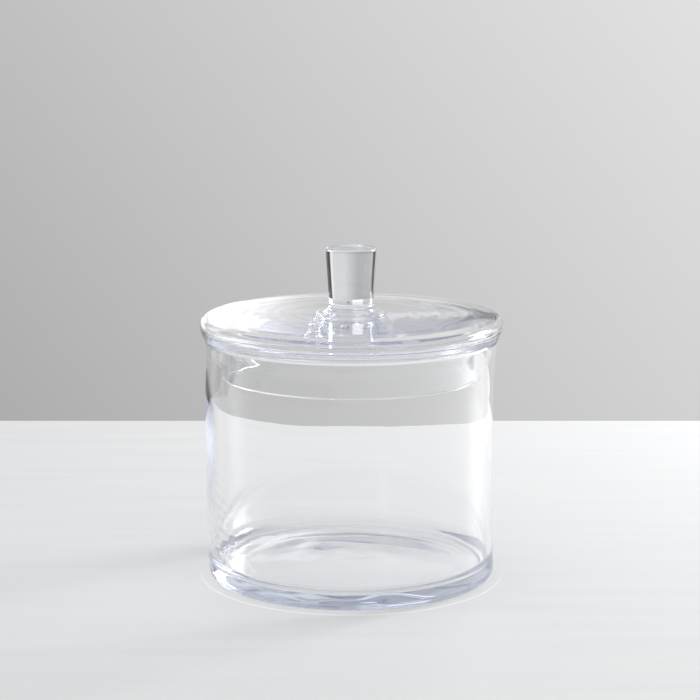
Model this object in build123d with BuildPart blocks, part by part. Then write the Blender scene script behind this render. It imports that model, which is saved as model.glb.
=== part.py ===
from build123d import *
import os

os.makedirs("parts", exist_ok=True)

# Mouth-blown glass apothecary jar in three pieces: a straight-sided jar, a hollow lid
# that drops into the mouth by a deep collar, and a solid knob fused on top of the lid.
# Millimetres, +Z up. The origin is the middle of the ring that the jar stands on.

# Jar
jar_diameter = 152.0          # outside of the straight wall
jar_height = 127.8            # table to the top of the rim
jar_wall = 2.8
rim_swell = 1.0               # how far the fire-polished rim stands proud of each face
rim_blend = 8.0               # blend from the rim's bead into the wall
base_thickness = 7.0          # table to the top of the floor
base_corner = 6.5             # outside, from the wall round to the underside
floor_corner = 7.0            # inside, from the wall round to the floor
punt_diameter = 112.0         # shallow hollow pushed up into the underside
punt_height = 1.6

# Lid
lid_overhang = 3.4            # how far the lid stands out past the jar's wall
lid_height = 11.4             # seat to the top of the lid
lid_crown = 1.4               # how much the top falls from its middle to its edge
lid_middle_diameter = 118.0   # flat and thick middle of the top
lid_middle = 4.6              # thickness of the glass at its middle
lid_middle_blend = 70.0
lid_wall = 2.6                # side, and the top outside its middle
lid_shoulder = 4.6            # rounding from the top to the side
heel_height = 4.5             # stretch of the side that curves in to the seat
heel_inset = 1.8
heel_edge = 0.8               # rounding of the seat's outer edge
seat_thickness = 2.8          # ledge that turns in from the side to the collar
seat_gap = 0.25               # between the rim and the seat
collar_clearance = 5.0        # between the jar's wall and the collar
collar_wall = 3.2
collar_depth = 20.6           # seat to the collar's lower edge
collar_blend = 1.6            # outside, from the seat down into the collar
ledge_blend = 2.2             # inside, from the ledge down into the collar

# Knob
knob_height = 35.1            # above the lid's top
knob_top_diameter = 27.6
knob_neck_diameter = 24.0
knob_neck_height = 9.0        # lid's top to where the knob starts to widen
knob_waist_blend = 40.0
knob_edge = 1.5               # rounding of the upper edge
knob_dish_diameter = 20.0     # shallow dish left in the upper face
knob_dish_depth = 0.5
foot_spread = 6.5             # how far the foot stands out past the neck
foot_edge = 1.2               # thickness of the foot at its outer edge
foot_flare = 4.0              # sweep from the foot up into the neck

jar_radius = jar_diameter / 2
bore_radius = jar_radius - jar_wall
bead_radius = jar_wall / 2 + rim_swell
bead_z = jar_height - bead_radius
bead_drop = (bead_radius ** 2 - (jar_wall / 2) ** 2) ** 0.5

seat_z = jar_height + seat_gap
ledge_z = seat_z + seat_thickness
lid_radius = jar_radius + lid_overhang
hollow_radius = lid_radius - lid_wall
lid_top_z = seat_z + lid_height
middle_radius = lid_middle_diameter / 2
collar_radius = bore_radius - collar_clearance
collar_bore = collar_radius - collar_wall
collar_z = seat_z - collar_depth

neck_radius = knob_neck_diameter / 2
foot_radius = neck_radius + foot_spread
foot_z = lid_top_z + foot_edge
knob_top_radius = knob_top_diameter / 2
knob_top_z = lid_top_z + knob_height


def corner(profile, x, z):
    """The profile's vertex nearest to a point."""
    return profile.vertices().sort_by_distance((x, z))[0]


# Jar: floor and wall in one profile, with a bead of glass along the rim
with BuildPart() as jar_body:
    with BuildSketch(Plane.XZ) as jar_profile:
        with BuildLine():
            punt = TangentArc((0, punt_height), (punt_diameter / 2, 0), tangent=(1, 0))
            Polyline(
                punt @ 1,
                (jar_radius, 0),
                (jar_radius, bead_z),
                (bore_radius, bead_z),
                (bore_radius, base_thickness),
                (0, base_thickness),
                punt @ 0,
            )
        make_face()
        fillet(corner(jar_profile, jar_radius, 0), base_corner)
        fillet(corner(jar_profile, bore_radius, base_thickness), floor_corner)
        with Locations((jar_radius - jar_wall / 2, bead_z)):
            Circle(bead_radius)
        for wall_x in (jar_radius, bore_radius):
            fillet(corner(jar_profile, wall_x, bead_z - bead_drop), rim_blend)
    revolve(axis=Axis.Z)

jar_body.part.label = "jar_body"
export_step(jar_body.part, "parts/jar_body.step")

# Lid: one blown shell. Its side turns in to a flat seat and then down into the collar,
# and its top is thicker in the middle than at the edge.
shoulder_z = lid_top_z - lid_crown
heel_z = seat_z + heel_height
hollow_share = (hollow_radius - middle_radius) / (lid_radius - middle_radius)
hollow_top_z = lid_top_z - lid_crown * hollow_share ** 2 - lid_wall
hollow_side = hollow_top_z - ledge_z

with BuildPart() as lid:
    with BuildSketch(Plane.XZ) as lid_profile:
        with BuildLine():
            crown = TangentArc(
                (middle_radius, lid_top_z), (lid_radius, shoulder_z), tangent=(1, 0)
            )
            heel = TangentArc(
                (lid_radius, heel_z), (lid_radius - heel_inset, seat_z), tangent=(0, -1)
            )
            underside = TangentArc(
                (0, lid_top_z - lid_middle), (middle_radius, lid_top_z - lid_wall), tangent=(1, 0)
            )
            Line(crown @ 1, heel @ 0)
            Polyline(
                heel @ 1,
                (collar_radius, seat_z),
                (collar_radius, collar_z),
                (collar_bore, collar_z),
                (collar_bore, ledge_z),
                (hollow_radius, ledge_z),
                (hollow_radius, hollow_top_z),
                underside @ 1,
            )
            Polyline(underside @ 0, (0, lid_top_z), crown @ 0)
        make_face()
        roundings = (
            (lid_radius, shoulder_z, min(lid_shoulder, 0.9 * (shoulder_z - heel_z))),
            (lid_radius - heel_inset, seat_z, heel_edge),
            (collar_radius, seat_z, collar_blend),
            (collar_radius, collar_z, 0.49 * collar_wall),
            (collar_bore, collar_z, 0.49 * collar_wall),
            (collar_bore, ledge_z, ledge_blend),
            (hollow_radius, ledge_z, 0.48 * hollow_side),
            (hollow_radius, hollow_top_z, 0.48 * hollow_side),
            (middle_radius, lid_top_z - lid_wall, lid_middle_blend),
        )
        for x, z, radius in roundings:
            fillet(corner(lid_profile, x, z), radius)
    revolve(axis=Axis.Z)

lid.part.label = "lid"
export_step(lid.part, "parts/lid.step")

# Knob: a solid gather with a thin flared foot, narrower at the neck than at the top
with BuildPart() as lid_knob:
    with BuildSketch(Plane.XZ) as knob_profile:
        with BuildLine():
            dish = TangentArc(
                (0, knob_top_z - knob_dish_depth), (knob_dish_diameter / 2, knob_top_z), tangent=(1, 0)
            )
            Polyline(
                dish @ 1,
                (knob_top_radius, knob_top_z),
                (neck_radius, lid_top_z + knob_neck_height),
                (neck_radius, foot_z),
                (foot_radius, foot_z),
                (foot_radius, lid_top_z),
                (0, lid_top_z),
                dish @ 0,
            )
        make_face()
        roundings = (
            (knob_top_radius, knob_top_z, knob_edge),
            (neck_radius, lid_top_z + knob_neck_height, knob_waist_blend),
            (neck_radius, foot_z, min(foot_flare, 0.8 * foot_spread)),
            (foot_radius, foot_z, 0.6 * foot_edge),
        )
        for x, z, radius in roundings:
            fillet(corner(knob_profile, x, z), radius)
    revolve(axis=Axis.Z)

lid_knob.part.label = "lid_knob"
export_step(lid_knob.part, "parts/lid_knob.step")
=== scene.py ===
import math

import bpy
import numpy as np
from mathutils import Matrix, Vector


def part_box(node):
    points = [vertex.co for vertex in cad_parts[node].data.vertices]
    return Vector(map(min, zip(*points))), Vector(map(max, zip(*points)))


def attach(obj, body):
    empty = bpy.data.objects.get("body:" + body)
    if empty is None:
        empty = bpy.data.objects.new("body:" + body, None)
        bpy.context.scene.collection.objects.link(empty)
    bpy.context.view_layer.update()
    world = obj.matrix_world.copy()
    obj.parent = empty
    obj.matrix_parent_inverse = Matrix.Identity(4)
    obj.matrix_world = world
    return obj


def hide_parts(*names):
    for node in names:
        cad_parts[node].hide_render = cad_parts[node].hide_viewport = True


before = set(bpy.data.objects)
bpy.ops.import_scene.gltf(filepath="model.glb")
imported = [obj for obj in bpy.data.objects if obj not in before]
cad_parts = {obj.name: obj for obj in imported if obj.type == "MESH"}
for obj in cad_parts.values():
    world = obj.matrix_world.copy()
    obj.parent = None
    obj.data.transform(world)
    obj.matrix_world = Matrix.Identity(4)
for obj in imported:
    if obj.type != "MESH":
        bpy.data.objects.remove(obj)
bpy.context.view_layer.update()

# A mouth-blown clear glass apothecary jar: the jar, its hollow lid, and the solid knob
# fused on the lid. Outlines are in millimetres as (radius, height), turned about Z into
# dense meshes in metres, with the unevenness that blown glass has.

MM = 0.001
TAU = 2 * math.pi
SEGMENTS = 288                # facets round the axis
STEP = 0.7                    # longest step along an outline, mm
ARC_STEP = 0.35               # and round a corner of less than SMALL_ARC
SMALL_ARC = 20.0
FULL = 1e4                    # a rounding as large as its two runs allow
HAIR = 0.02                   # kept clear inside the CAD model's box, mm


def box_mm(node):
    """Outer radius, lowest and highest height of a turned CAD node, in mm."""
    low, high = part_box(node)
    return min(high[0], high[1]) / MM, low[2] / MM, high[2] / MM


# Sizes that the frame gives
rim_radius, _, jar_height = box_mm("jar_body")
lid_radius, collar_z, lid_top_z = box_mm("lid")
foot_radius, _, knob_top_z = box_mm("lid_knob")

# The jar, mm
JAR_WALL = 2.8
RIM_SWELL = 1.0               # the rim stands this far out of the wall
RIM_FLARE = 0.7               # and its bore opens this far
RIM_FADE = 8.0                # below the top, where the swell starts
RIM_LIP = 2.4                 # below the top, where the swell is full
RIM_ROUNDING = 0.45 * JAR_WALL
BASE = 7.0
BASE_CORNER = 4.0
FLOOR_CORNER = 7.0
PUNT_RADIUS = 56.0            # the shallow hollow under the base
PUNT_HEIGHT = 1.6

# The lid, mm
SEAT_GAP = 0.08               # over the rim
SEAT_THICKNESS = 3.4
HEEL_HEIGHT = 4.5             # the side draws in over this height, down to the seat
HEEL_INSET = 1.8
LID_WALL = 2.6
LID_SHOULDER = 4.6
LID_CROWN = 1.4               # the top rises this much from its shoulder
LID_CROWN_RADIUS = 66.0
LID_FLAT_RADIUS = 30.0        # it is level inside this
LID_MIDDLE = 4.8              # thickness of the top at its middle,
LID_MIDDLE_RADIUS = 16.0      # out to here,
LID_KNEE_RADIUS = 66.5        # from where it thins to LID_KNEE out here
LID_KNEE = 2.75
HOLLOW_DROP = 1.14            # the hollow's outer corner is this much lower
HOLLOW_CORNER = 2.0
COLLAR_CLEARANCE = 5.0
COLLAR_WALL = 3.2

# The knob, mm
KNOB_TOP_RADIUS = 13.8
KNOB_NECK_RADIUS = 12.0
KNOB_NECK_HEIGHT = 9.0
KNOB_EDGE = 1.5
DISH_RADIUS = 10.0
DISH_DEPTH = 0.5
FOOT_EDGE = 1.2
FOOT_FLARE = 4.0
FUSED = 0.12                  # how deep the knob is sunk into the lid, as fused glass

jar_radius = rim_radius - RIM_SWELL
bore_radius = jar_radius - JAR_WALL
seat_z = jar_height + SEAT_GAP
ledge_z = seat_z + SEAT_THICKNESS
collar_radius = bore_radius - COLLAR_CLEARANCE
collar_bore = collar_radius - COLLAR_WALL


# --- Turned glass -------------------------------------------------------------------

def rounded(corners):
    """An outline through corners (radius, height, rounding): straight runs and tangent arcs."""
    points = [Vector(corners[0][:2])]
    for before, corner, after in zip(corners, corners[1:], corners[2:]):
        here = Vector(corner[:2])
        back, ahead = Vector(before[:2]) - here, Vector(after[:2]) - here
        turn = math.pi - back.angle(ahead)
        if corner[2] == 0 or turn < 1e-4:
            points.append(here)
            continue
        free = 0.98 if corner[2] == FULL else 0.5
        reach = min(corner[2] * math.tan(turn / 2), free * back.length, free * ahead.length)
        radius = reach / math.tan(turn / 2)
        middle = (back.normalized() + ahead.normalized()).normalized()
        centre = here + middle * (radius / math.cos(turn / 2))
        arm = here + back.normalized() * reach - centre
        way = -1 if back.x * ahead.y - back.y * ahead.x > 0 else 1
        steps = max(4, math.ceil(radius * turn / (ARC_STEP if radius < SMALL_ARC else STEP)))
        for step in range(steps + 1):
            swing = way * turn * step / steps
            points.append(centre + Vector((
                arm.x * math.cos(swing) - arm.y * math.sin(swing),
                arm.x * math.sin(swing) + arm.y * math.cos(swing),
            )))
    points.append(Vector(corners[-1][:2]))
    return points


def stepped(points):
    """The outline as arrays of radius and height, with its long runs divided evenly."""
    out = [points[0]]
    for start, end in zip(points, points[1:]):
        count = max(1, math.ceil((end - start).length / STEP))
        out += [start.lerp(end, n / count) for n in range(1, count + 1)]
    return np.array([p.x for p in out]), np.array([p.y for p in out])


def turned(name, corners, uneven):
    """A closed mesh turned about Z. uneven(radius, height, angle) gives offsets in mm."""
    radius, height = stepped(rounded(corners))
    angle = np.arange(SEGMENTS) * TAU / SEGMENTS
    inner_r, inner_z = radius[1:-1, None], height[1:-1, None]
    d_r, d_z = uneven(inner_r, inner_z, angle[None, :])
    r, z = inner_r + d_r, inner_z + d_z
    rows = np.stack([r * np.cos(angle), r * np.sin(angle), z * np.ones_like(r)], axis=-1)
    poles = [(0, 0, height[0]), (0, 0, height[-1])]
    verts = np.concatenate([rows.reshape(-1, 3), poles]) * MM
    count, last = len(inner_r), len(verts) - 1
    ring = np.arange(SEGMENTS)
    after = (ring + 1) % SEGMENTS
    faces = []
    for row in range(count - 1):
        low, high = row * SEGMENTS, (row + 1) * SEGMENTS
        faces += np.stack([low + ring, low + after, high + after, high + ring], axis=-1).tolist()
    top = (count - 1) * SEGMENTS
    faces += [(last - 1, int(b), int(a)) for a, b in zip(ring, after)]
    faces += [(last, top + int(a), top + int(b)) for a, b in zip(ring, after)]
    mesh = bpy.data.meshes.new(name)
    mesh.from_pydata(verts.tolist(), [], faces)
    mesh.validate()
    mesh.shade_smooth()
    piece = bpy.data.objects.new(name, mesh)
    bpy.context.scene.collection.objects.link(piece)
    return piece


def fade(value, start, end):
    """0 before start, 1 after end, smooth between. start may be the larger."""
    share = np.clip((value - start) / (end - start), 0, 1)
    return share * share * (3 - 2 * share)


def waves(angle, along, parts):
    """A sum of long waves: (depth mm, turns round the axis, length along in mm, phase)."""
    return sum(
        depth * np.sin(turns * angle + TAU * along / length + phase)
        for depth, turns, length, phase in parts
    )


# --- The jar ------------------------------------------------------------------------

# Sums of waves, as waves() takes them
WALL_WAVES = (
    (0.29, 1, 260.0, 0.97), (0.31, 2, 260.0, -2.175),
    (0.02, 5, 150.0, 4.0), (0.006, 9, -70.0, 1.2),
)
FLOOR_WAVES = ((0.17, 1, 44.0, 0.4), (0.09, 2, 25.0, 2.6), (0.02, 3, -17.0, 4.4))
BASE_LINES = ((0.045, 20, 5.5, 0.0), (0.025, 11, 8.5, 1.9))
FOOT_PULLS = ((0.10, 5, 24.0, 0.3), (0.07, 9, -15.0, 2.0), (0.03, 14, 9.0, 4.0))

# Heights in mm between which each one sets in, and then dies out
WALL_IN, WALL_OUT = (8, 40), (124, 98)
LINES_IN, LINES_OUT = (3, 9), (75, 25)
PULLS_IN, PULLS_OUT = (0.5, 3), (16, 9)
LEAN_IN, BELLY_IN, LEAN_OUT = (-1, 30), (0, 60), (122, 98)
LEAN, BELLY = 0.4, 0.7        # how far the jar leans, and its wall bellies, towards -X, mm
LINES_SKIN, PULLS_SKIN = 0.06, 0.10     # taken off, so that the waves stay in the box


def uneven_jar(radius, height, angle):
    """Long waves in the bore, a rippled floor at the back, drawn lines low on the left."""
    inside = (radius < bore_radius + 0.5) & (height > BASE - 0.01)
    outside = radius > jar_radius - 0.3
    wall = fade(radius, bore_radius - 3, bore_radius) * fade(height, *WALL_IN)
    wall = wall * fade(height, *WALL_OUT) * waves(angle, height, WALL_WAVES)
    left = 0.06 + 0.94 * fade(-np.cos(angle - 0.2), 0.85, 0.97)
    lines = left * fade(height, *LINES_IN) * fade(height, *LINES_OUT)
    lines = lines * waves(angle, height, BASE_LINES) - LINES_SKIN
    pulls = fade(height, *PULLS_OUT) * (waves(angle, height, FOOT_PULLS) - PULLS_SKIN)
    pulls = np.where(inside, 0.4, 1) * fade(radius, 66, 70) * fade(height, *PULLS_IN) * pulls
    lean = LEAN * fade(height, *LEAN_IN) * fade(height, *LEAN_OUT)
    belly = BELLY * fade(height, *BELLY_IN) * fade(height, *LEAN_OUT) * fade(radius, 60, 70)
    d_r = np.where(inside, wall, 0) + np.where(outside, lines, 0) + pulls
    back = 0.08 + 0.92 * fade(np.sin(angle - 0.3), -0.2, 0.8)
    floor = back * fade(radius, 70, 60) * fade(radius, 0, 12) * fade(height, BASE + 3, BASE + 1)
    d_z = np.where(inside, floor * waves(angle, radius, FLOOR_WAVES), 0)
    return d_r - (lean + belly) * np.cos(angle), d_z


# Each corner is (radius, height, rounding)
jar_corners = (
    (0, PUNT_HEIGHT, 0),
    (PUNT_RADIUS / 2, PUNT_HEIGHT, FULL),
    (PUNT_RADIUS, 0, 0),
    (jar_radius, 0, BASE_CORNER),
    (jar_radius, jar_height - RIM_FADE, 24),
    (rim_radius - HAIR, jar_height - RIM_LIP, 20),
    (rim_radius - HAIR, jar_height, RIM_ROUNDING),
    (bore_radius + RIM_FLARE, jar_height, RIM_ROUNDING),
    (bore_radius + RIM_FLARE, jar_height - RIM_LIP, 20),
    (bore_radius, jar_height - RIM_FADE, 24),
    (bore_radius, BASE, FLOOR_CORNER),
    (0, BASE, 0),
)
jar = turned("blown_jar", jar_corners, uneven_jar)

# --- The lid ------------------------------------------------------------------------

# Rings left by turning the hot glass: (depth mm, centre x, centre y, spacing mm, phase)
TOP_RINGS = ((0.006, 2.0, 3.0, 6.5, 0.0), (0.008, -4.0, 2.0, 11.0, 2.0))
UNDER_RINGS = ((0.015, -2.0, 3.0, 8.0, 1.0), (0.020, 4.0, -2.0, 15.0, 3.0))

# How far below the lid's highest point its upper and its under side reach, mm
TOP_DEPTH = 1.9
UNDER_DEPTHS = (2.0, 6.0)


def rings(radius, angle, parts):
    """A sum of rings, as TOP_RINGS has them."""
    x, y = radius * np.cos(angle), radius * np.sin(angle)
    return sum(
        depth * np.sin(TAU * np.hypot(x - cx, y - cy) / spacing + phase)
        for depth, cx, cy, spacing, phase in parts
    )


def uneven_lid(radius, height, angle):
    """Rings over and under the lid's top, clear of the knob's foot and of the shoulder."""
    spread = fade(radius, 20, 32) * fade(radius, 78, 70)
    top = height > lid_top_z - TOP_DEPTH
    depth = lid_top_z - height
    under = (depth > UNDER_DEPTHS[0]) & (depth < UNDER_DEPTHS[1])
    d_z = np.where(top, spread * (rings(radius, angle, TOP_RINGS) - HAIR), 0)
    d_z = d_z + np.where(under, spread * rings(radius, angle, UNDER_RINGS), 0)
    return np.zeros_like(angle * radius), d_z


shoulder_z = lid_top_z - LID_CROWN
hollow_radius = lid_radius - LID_WALL
lid_side = lid_radius - HAIR
lid_corners = (
    (0, lid_top_z - LID_MIDDLE, 0),
    (LID_MIDDLE_RADIUS, lid_top_z - LID_MIDDLE, 400),
    (LID_KNEE_RADIUS, lid_top_z - LID_KNEE, 40),
    (hollow_radius, lid_top_z - LID_WALL - HOLLOW_DROP, HOLLOW_CORNER),
    (hollow_radius, ledge_z, 2.2),
    (collar_bore, ledge_z, 2.2),
    (collar_bore, collar_z, 0.9),
    (collar_radius, collar_z, 0.9),
    (collar_radius, seat_z, 1.6),
    (lid_side - HEEL_INSET, seat_z, 0.8),
    (lid_side, seat_z + HEEL_HEIGHT, 6),
    (lid_side, shoulder_z, LID_SHOULDER),
    (LID_CROWN_RADIUS, lid_top_z, 125),
    (LID_FLAT_RADIUS, lid_top_z, 0),
    (0, lid_top_z, 0),
)
lid = turned("blown_lid", lid_corners, uneven_lid)

# --- The knob -----------------------------------------------------------------------

KNOB_WAVES = ((0.06, 2, 60.0, 0.4), (0.04, 3, -40.0, 2.0))
KNOB_SKIN = 0.08


def uneven_knob(radius, height, angle):
    """Faint waves in the knob's side, above its neck."""
    side = fade(radius, 9, 12) * fade(height, lid_top_z + 1, lid_top_z + 6)
    return side * (waves(angle, height, KNOB_WAVES) - KNOB_SKIN), np.zeros_like(angle * radius)


knob_corners = (
    (0, lid_top_z - FUSED, 0),
    (foot_radius - HAIR, lid_top_z - FUSED, 0),
    (foot_radius - HAIR, lid_top_z + FOOT_EDGE, 0.6 * FOOT_EDGE),
    (KNOB_NECK_RADIUS, lid_top_z + FOOT_EDGE, FOOT_FLARE),
    (KNOB_NECK_RADIUS, lid_top_z + KNOB_NECK_HEIGHT, 40),
    (KNOB_TOP_RADIUS, knob_top_z, KNOB_EDGE),
    (DISH_RADIUS, knob_top_z, 1),
    (DISH_RADIUS / 2, knob_top_z - DISH_DEPTH, FULL),
    (0, knob_top_z - DISH_DEPTH, 0),
)
knob = turned("glass_knob", knob_corners, uneven_knob)


# --- Materials ----------------------------------------------------------------------

def linear(code):
    """An sRGB hex colour as linear RGBA."""
    parts = [int(code[n:n + 2], 16) / 255 for n in (0, 2, 4)]
    return [c / 12.92 if c <= 0.04045 else ((c + 0.055) / 1.055) ** 2.4 for c in parts] + [1.0]


def node(tree, kind, settings=(), **feeds):
    """Adds a node. settings are its properties, or its inputs by name. feeds are inputs by
    name, or by number as _0, each a plain value or the output that is linked to it."""
    made = tree.nodes.new(kind)
    for key, value in dict(settings).items():
        if key in made.inputs:
            made.inputs[key].default_value = value
        else:
            setattr(made, key, value)
    for key, value in feeds.items():
        target = made.inputs[int(key[1:]) if key[1:].isdigit() else key.replace("_", " ")]
        if isinstance(value, bpy.types.NodeSocket):
            tree.links.new(value, target)
        else:
            target.default_value = value
    return made


def new_material(name):
    """An empty material and its node tree."""
    material = bpy.data.materials.new(name)
    material.use_nodes = True
    material.node_tree.nodes.clear()
    return material, material.node_tree


GLASS_TINT, GLASS_DENSITY = "BAC5E0", 5.4
GLASS_IOR = 1.52
CORD_DEPTH = 0.02             # mm
EDGE_SHADE = "40444A"         # what an upright wall seen along its face lets through


def blown_glass(name, cord_mm):
    """Clear mouth-blown soda-lime glass: fire-polished, faintly blue where it is thick,
    with fine cords that bend what is seen through it. It throws a plain shadow, darker
    under its upright edges."""
    material, tree = new_material(name)
    place = node(tree, "ShaderNodeTexCoord")
    cords = node(tree, "ShaderNodeTexNoise", {"Scale": 1 / (cord_mm * MM), "Detail": 1.5},
                 Vector=place.outputs["Object"])
    bump = node(tree, "ShaderNodeBump", {"Strength": 1.0, "Distance": CORD_DEPTH * MM},
                Height=cords.outputs["Fac"])
    glass = node(tree, "ShaderNodeBsdfPrincipled", {
        "Base Color": (1, 1, 1, 1), "Roughness": 0.0, "IOR": GLASS_IOR,
        "Transmission Weight": 1.0,
    }, Normal=bump.outputs["Normal"])
    edge = node(tree, "ShaderNodeLayerWeight", {"Blend": 0.5})
    grazing = node(tree, "ShaderNodeMath", {"operation": "POWER"},
                   _0=edge.outputs["Facing"], _1=4.0)
    surface = node(tree, "ShaderNodeNewGeometry")
    lie = node(tree, "ShaderNodeSeparateXYZ", Vector=surface.outputs["Normal"])
    flat = node(tree, "ShaderNodeMath", {"operation": "ABSOLUTE"}, _0=lie.outputs["Z"])
    upright = node(tree, "ShaderNodeMath", {"operation": "SUBTRACT", "use_clamp": True},
                   _0=1.0, _1=flat.outputs[0])
    share = node(tree, "ShaderNodeMath", {"operation": "MULTIPLY"},
                 _0=grazing.outputs[0], _1=upright.outputs[0])
    pass_on = node(tree, "ShaderNodeMix", {"data_type": "RGBA"},
                   _0=share.outputs[0], _6=linear("FFFFFF"), _7=linear(EDGE_SHADE))
    clear = node(tree, "ShaderNodeBsdfTransparent", Color=pass_on.outputs[2])
    path = node(tree, "ShaderNodeLightPath")
    lit = node(tree, "ShaderNodeMixShader", _0=path.outputs["Is Diffuse Ray"],
               _1=glass.outputs[0], _2=clear.outputs[0])
    mix = node(tree, "ShaderNodeMixShader", _0=path.outputs["Is Shadow Ray"],
               _1=lit.outputs[0], _2=clear.outputs[0])
    absorb = node(tree, "ShaderNodeVolumeAbsorption",
                  {"Color": linear(GLASS_TINT), "Density": GLASS_DENSITY})
    node(tree, "ShaderNodeOutputMaterial", Surface=mix.outputs[0], Volume=absorb.outputs[0])
    return material


jar_glass = blown_glass("mouth_blown_soda_lime_glass_jar", 14)
lid_glass = blown_glass("mouth_blown_soda_lime_glass_lid", 9)
knob_glass = blown_glass("solid_gathered_soda_lime_glass_knob", 7)

for piece, body, cad_node, slot, material in (
    (jar, "jar", "jar_body", "jar_glass", jar_glass),
    (lid, "lid", "lid", "lid_glass", lid_glass),
    (knob, "lid", "lid_knob", "lid_glass", knob_glass),
):
    piece.data.materials.append(material)
    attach(piece, body)
    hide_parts(cad_node)

# --- Stage --------------------------------------------------------------------------

TABLE_FAR = 0.37              # the table's edges: this far behind the jar
TABLE_SIDE = 0.80             # this far to both sides
TABLE_NEAR = 0.80             # and this far before it
TABLE_THICK = 0.03
TABLE_DROP = 0.00005          # hair of air under the glass, so that the two never coincide
STROKES = (6, 60, 1)          # brush strokes to the metre, along and across
PAINTED_GLINT_RADIUS = 80.3           # mm: a painted highlight, a thin line of light painted on the table in place of the foot's caustic
PAINTED_GLINT_WIDTH = 1.7
PAINTED_GLINT_FADE = -0.045           # it is full from here to the front


def painted_table():
    """White painted board, faintly brushed in long strokes, with a painted caustic by the foot."""
    material, tree = new_material("brushed_white_paint_with_painted_glint")
    place = node(tree, "ShaderNodeTexCoord")
    stretch = node(tree, "ShaderNodeMapping", {"Scale": STROKES},
                   Vector=place.outputs["Object"])
    strokes = node(tree, "ShaderNodeTexNoise", {"Scale": 1.0, "Detail": 4.0},
                   Vector=stretch.outputs[0])
    shade = node(tree, "ShaderNodeMix", {"data_type": "RGBA"},
                 _0=strokes.outputs["Fac"], _6=linear("F1F2F2"), _7=linear("E7E8EA"))
    # Painted highlight: a thin ring of whiter paint at the foot's edge, full at the front, none
    # behind
    level = node(tree, "ShaderNodeVectorMath", {"operation": "MULTIPLY"},
                 _0=place.outputs["Object"], _1=(1, 1, 0))
    away = node(tree, "ShaderNodeVectorMath", {"operation": "LENGTH"}, _0=level.outputs[0])
    line = node(tree, "ShaderNodeMath", {"operation": "COMPARE"}, _0=away.outputs["Value"],
                _1=PAINTED_GLINT_RADIUS * MM, _2=PAINTED_GLINT_WIDTH * MM / 2)
    axes = node(tree, "ShaderNodeSeparateXYZ", Vector=place.outputs["Object"])
    front = node(tree, "ShaderNodeMapRange", {"From Min": 0.0, "From Max": PAINTED_GLINT_FADE},
                 Value=axes.outputs["Y"])
    ring = node(tree, "ShaderNodeMath", {"operation": "MULTIPLY"},
                _0=line.outputs[0], _1=front.outputs[0])
    painted_glint = node(tree, "ShaderNodeMix", {"data_type": "RGBA"},
                 _0=ring.outputs[0], _6=shade.outputs[2], _7=linear("FFFFFF"))
    paint = node(tree, "ShaderNodeBsdfPrincipled", {"Roughness": 0.55},
                 Base_Color=painted_glint.outputs[2])
    node(tree, "ShaderNodeOutputMaterial", Surface=paint.outputs[0])
    return material


table_mesh = bpy.data.meshes.new("table")
table_mesh.from_pydata([
    (x, y, z - TABLE_DROP)
    for z in (-TABLE_THICK, 0) for y in (-TABLE_NEAR, TABLE_FAR) for x in (-TABLE_SIDE, TABLE_SIDE)
], [], [(0, 2, 3, 1), (4, 5, 7, 6), (0, 1, 5, 4), (2, 6, 7, 3), (0, 4, 6, 2), (1, 3, 7, 5)])
table = bpy.data.objects.new("table", table_mesh)
bpy.context.scene.collection.objects.link(table)
table.data.materials.append(painted_table())

# --- Light --------------------------------------------------------------------------

scene = bpy.context.scene
world = bpy.data.worlds.new("studio")
world.use_nodes = True
tree = world.node_tree
tree.nodes.clear()
place = node(tree, "ShaderNodeTexCoord")
axes = node(tree, "ShaderNodeSeparateXYZ", Vector=place.outputs["Generated"])
x_way, y_way, z_way = axes.outputs


def within(*limits):
    """1 inside all limits, each (value, from, to, softness of its ends), and 0 outside."""
    inside = 1.0
    for value, start, end, soft in limits:
        for nought, one in ((start - soft / 2, start + soft / 2), (end + soft / 2, end - soft / 2)):
            edge = node(tree, "ShaderNodeMapRange", {
                "interpolation_type": "SMOOTHSTEP", "From Min": nought, "From Max": one,
            }, Value=value)
            inside = node(tree, "ShaderNodeMath", {"operation": "MULTIPLY"},
                          _0=inside, _1=edge.outputs["Result"]).outputs[0]
    return inside


# The wall behind grows paler to the upper right; beyond the table it is dark on both sides.
# Patches: (bearing from, to in degrees, height from, to as sines, softness of both, brightness)
WALL_PATCHES = (
    (-190, 190, 0.42, 1.10, 6, 0.12, 0.60),     # ceiling
    (-22, -1.5, 0.03, 0.265, 3, 0.02, 1.55),    # bright board that whitens the lid's left
    (-1.5, 60, 0.03, 0.265, 3, 0.02, 0.62),     # plain wall at the lid's right
    (3, 8, 0.13, 0.19, 1.5, 0.015, 0.12),       # small dark thing on it
    (64, 105, 0.22, 0.50, 6, 0.03, 1.20),       # glow about the window
    (36, 45, -1.10, 0.03, 3, 0.02, 0.92),       # pale strip, inside the knob's left edge
    (45, 80, -1.10, 0.03, 3, 0.02, 0.06),       # dark floor, the knob's left edge
    (-64, -46, -1.10, 0.03, 3, 0.02, 0.10),     # and its right edge
)
WALL_TURN, WALL_SPAN = 0.18, (0.5254, 0.7846)     # brightness from left to right of the jar
WALL_RISE = 0.58              # and how much brighter it grows with height
ROOM_GLOSS = 0.30

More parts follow.
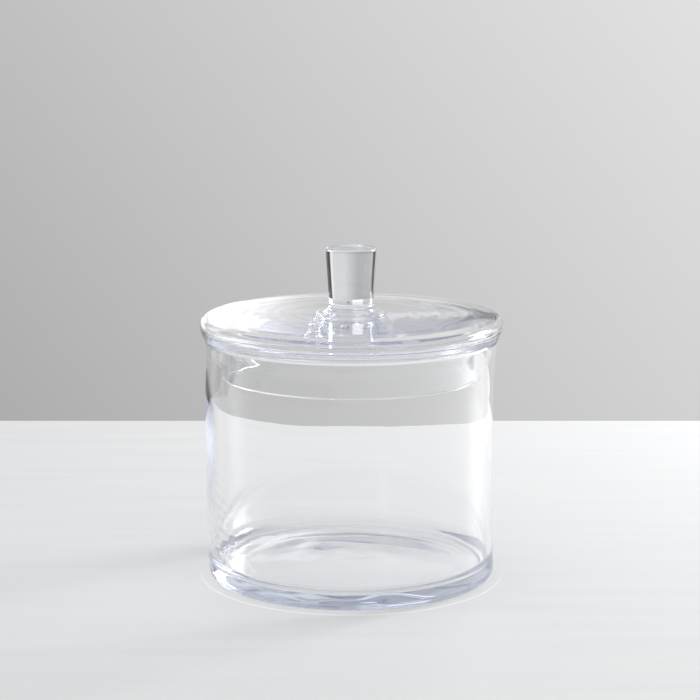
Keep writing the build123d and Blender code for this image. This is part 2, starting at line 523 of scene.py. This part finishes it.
turn = node(tree, "ShaderNodeMath", {"operation": "ARCTAN2"}, _0=x_way, _1=y_way)
bearing = node(tree, "ShaderNodeMath", {"operation": "DEGREES"}, _0=turn.outputs[0]).outputs[0]
across = node(tree, "ShaderNodeMapRange", {
    "From Min": -WALL_TURN, "From Max": WALL_TURN, "To Min": WALL_SPAN[0], "To Max": WALL_SPAN[1],
}, Value=x_way)
wall = node(tree, "ShaderNodeMath", {"operation": "MULTIPLY_ADD"},
            _0=z_way, _1=WALL_RISE, _2=across.outputs["Result"]).outputs[0]
for left, right, low, high, soft, soft_z, brightness in WALL_PATCHES:
    patch = within((bearing, left, right, soft), (z_way, low, high, soft_z))
    wall = node(tree, "ShaderNodeMix", _0=patch, _2=wall, _3=brightness).outputs[0]
# The room in front of the jar is dim where the glass mirrors it
path = node(tree, "ShaderNodeLightPath")
room = node(tree, "ShaderNodeMath", {"operation": "MULTIPLY"}, _1=path.outputs["Is Glossy Ray"],
            _0=within((y_way, -2, -0.1, 0.2), (z_way, -2, 0.4, 0.2)))
wall = node(tree, "ShaderNodeMix", _0=room.outputs[0], _2=wall, _3=ROOM_GLOSS).outputs[0]
sky = node(tree, "ShaderNodeBackground", {"Strength": 1.0}, Color=wall)
node(tree, "ShaderNodeOutputWorld", Surface=sky.outputs[0])
scene.world = world


def window(name, azimuth, elevation, distance, width, height, power, tint):
    """A soft rectangular window that faces the jar. Azimuth 0 is +Y, 90 is +X."""
    lamp = bpy.data.lights.new(name, "AREA")
    lamp.shape, lamp.size, lamp.size_y = "RECTANGLE", width, height
    lamp.energy, lamp.color = power, linear(tint)[:3]
    holder = bpy.data.objects.new(name, lamp)
    a, e = math.radians(azimuth), math.radians(elevation)
    away = Vector((math.sin(a) * math.cos(e), math.cos(a) * math.cos(e), math.sin(e)))
    middle = Vector((0, 0, 0.5 * knob_top_z * MM))
    holder.location = middle + away * distance
    holder.rotation_mode = "QUATERNION"
    holder.rotation_quaternion = away.to_track_quat("Z", "Y")
    scene.collection.objects.link(holder)


window("right_window", 60, 21, 1.5, 0.55, 0.60, 18, "FFFFFF")

# --- Camera -------------------------------------------------------------------------

CAMERA_PLACE = (-0.0007, -1.140, 0.3342)
CAMERA_TILT = 10.64           # degrees below level
CAMERA_LENS = 113.3
SENSOR = 36.0

camera_data = bpy.data.cameras.new("camera")
camera_data.lens, camera_data.sensor_width = CAMERA_LENS, SENSOR
camera = bpy.data.objects.new("camera", camera_data)
camera.location = CAMERA_PLACE
camera.rotation_euler = (math.radians(90 - CAMERA_TILT), 0, 0)
scene.collection.objects.link(camera)
scene.camera = camera

scene.view_settings.view_transform = "Standard"
# Light goes round many times inside the lid's glass before it comes out
scene.cycles.max_bounces = 96
scene.cycles.transmission_bounces = 48
scene.cycles.glossy_bounces = 96
scene.cycles.transparent_max_bounces = 32
